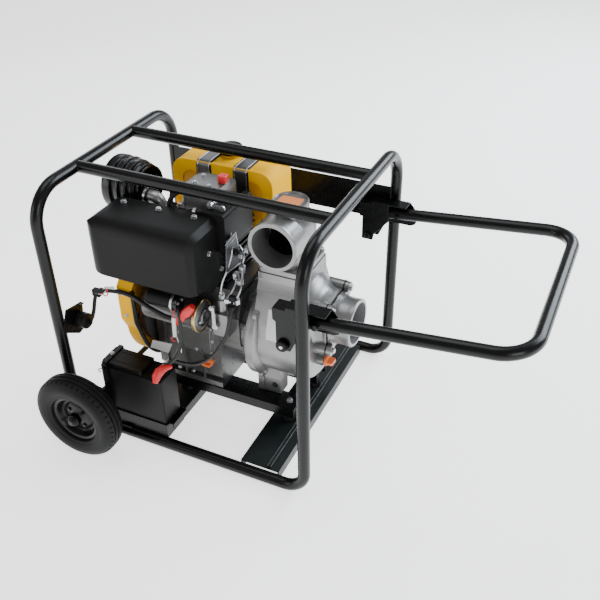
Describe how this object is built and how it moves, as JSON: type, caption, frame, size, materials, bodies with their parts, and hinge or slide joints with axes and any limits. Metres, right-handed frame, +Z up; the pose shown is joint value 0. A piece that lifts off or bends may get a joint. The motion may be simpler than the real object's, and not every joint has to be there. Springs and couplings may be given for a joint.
{
  "type": "portable fire pump",
  "caption": "Diesel engine and self-priming water pump in a black tube frame with wheels, a folding handle, a battery and a fuel tank.",
  "frame": {"origin": "middle of the whole machine's box, on the ground under it, with the handle out", "axes": "+X from the wheels to the suction port and the handle, -Y the side of the battery and the discharge port, +Z up"},
  "size_m": [1.2499, 0.888, 0.732],
  "materials": {
    "black_paint": "satin black enamel",
    "yellow_paint": "gloss yellow enamel",
    "cast_aluminium": "fine-blasted casting",
    "grey_cast": "dull grey casting",
    "steel": "bright zinc",
    "black_wrinkle": "satin heat-resistant black",
    "tyre": "matt black rubber",
    "rubber": "matt black rubber",
    "cable_jacket": "satin black jacket",
    "black_plastic": "fine-grained black",
    "gloss_black_plastic": "glossy black",
    "orange_plastic": "orange-red moulding"
  },
  "bodies": {
    "frame": {"left_hoop": "black_paint", "right_hoop": "black_paint", "front_top_rail": "black_paint", "back_top_rail": "black_paint", "left_cross_member": "black_paint", "right_cross_member": "black_paint", "front_beam": "black_paint", "back_beam": "black_paint", "mount_front_left": "rubber", "mount_back_left": "rubber", "mount_front_right": "rubber", "mount_back_right": "rubber", "back_panel": "black_paint", "axle": "black_paint", "front_handle_bracket": "black_paint", "back_handle_bracket": "black_paint", "battery_tray": "black_paint", "battery": "black_plastic", "battery_hold_down": "black_paint", "key_switch_bracket": "black_paint", "key_switch": "black_plastic", "crankcase": "grey_cast", "gear_case_cover": "grey_cast", "cylinder": "grey_cast", "cylinder_head": "grey_cast", "rocker_cover": "cast_aluminium", "fan_cowl": "yellow_paint", "starter_motor": "grey_cast", "injection_pump": "cast_aluminium", "heat_shield": "black_wrinkle", "muffler": "black_wrinkle", "air_cleaner": "gloss_black_plastic", "intake_pipe": "cast_aluminium", "fuel_tank": "yellow_paint", "tank_strap_left": "black_paint", "tank_strap_right": "black_paint", "pump_flange": "cast_aluminium", "pump_casing": "cast_aluminium", "suction_flange": "cast_aluminium", "discharge_elbow": "cast_aluminium", "starter_cable": "cable_jacket", "ground_cable": "cable_jacket"},
    "front_wheel": {"front_tyre": "tyre", "front_rim": "black_paint"},
    "back_wheel": {"back_tyre": "tyre", "back_rim": "black_paint"},
    "carry_handle": {"handle": "black_paint"},
    "front_knob": {"front_lock_knob": "rubber"},
    "back_knob": {"back_lock_knob": "rubber"},
    "key_barrel": {"ignition_barrel": "steel"},
    "dipstick": {"oil_dipstick": "orange_plastic"},
    "decompressor": {"decompression_lever": "steel"},
    "throttle": {"speed_lever": "steel"},
    "rotor": {"crankshaft": "steel", "flywheel_fan": "grey_cast", "impeller": "cast_aluminium"},
    "tank_cap": {"fuel_cap": "black_plastic"},
    "primer_cap": {"priming_cap": "cast_aluminium"},
    "drain": {"drain_plug": "orange_plastic"},
    "flap": {"check_valve_flap": "rubber"}
  },
  "joints": [
    {"name": "front_wheel_spin", "type": "hinge", "parent": "frame", "child": "front_wheel", "pos_m": [-0.5, -0.405, 0.125], "axis": [0, 1, 0], "continuous": true},
    {"name": "back_wheel_spin", "type": "hinge", "parent": "frame", "child": "back_wheel", "pos_m": [-0.5, 0.405, 0.125], "axis": [0, 1, 0], "continuous": true},
    {"name": "handle_fold", "type": "hinge", "parent": "frame", "child": "carry_handle", "pos_m": [0.141, 0, 0.534], "axis": [0, 1, 0], "range_deg": [0, 95]},
    {"name": "front_knob_turn", "type": "hinge", "parent": "frame", "child": "front_knob", "pos_m": [0.061, -0.28, 0.46], "axis": [0, 1, 0], "range_deg": [0, 360]},
    {"name": "back_knob_turn", "type": "hinge", "parent": "frame", "child": "back_knob", "pos_m": [0.061, 0.28, 0.46], "axis": [0, 1, 0], "range_deg": [0, 360]},
    {"name": "key_turn", "type": "hinge", "parent": "frame", "child": "key_barrel", "pos_m": [-0.543, -0.255, 0.321], "axis": [1, 0, 0], "range_deg": [0, 90]},
    {"name": "dipstick_pull", "type": "slide", "parent": "frame", "child": "dipstick", "axis": [0, -1, 0], "range_m": [0, 0.07]},
    {"name": "decompression_turn", "type": "hinge", "parent": "frame", "child": "decompressor", "pos_m": [-0.237, -0.082, 0.654], "axis": [0, -1, 0], "range_deg": [0, 80]},
    {"name": "speed_lever_turn", "type": "hinge", "parent": "frame", "child": "throttle", "pos_m": [-0.201, -0.167, 0.346], "axis": [0, 1, 0], "range_deg": [0, 25]},
    {"name": "shaft_spin", "type": "hinge", "parent": "frame", "child": "rotor", "pos_m": [-0.1, -0.013, 0.286], "axis": [1, 0, 0], "continuous": true},
    {"name": "fuel_cap_turn", "type": "hinge", "parent": "frame", "child": "tank_cap", "pos_m": [-0.313, 0.166, 0.686], "axis": [0, 0, 1], "range_deg": [0, 120]},
    {"name": "priming_cap_turn", "type": "hinge", "parent": "frame", "child": "primer_cap", "pos_m": [-0.042, -0.024, 0.671], "axis": [0, 0, 1], "range_deg": [0, 360]},
    {"name": "drain_plug_turn", "type": "hinge", "parent": "frame", "child": "drain", "pos_m": [0.071, -0.06, 0.244], "axis": [1, 0, 0], "range_deg": [0, 360]},
    {"name": "flap_swing", "type": "hinge", "parent": "frame", "child": "flap", "pos_m": [0.074, -0.013, 0.403], "axis": [0, 1, 0], "range_deg": [0, 35]}
  ]
}
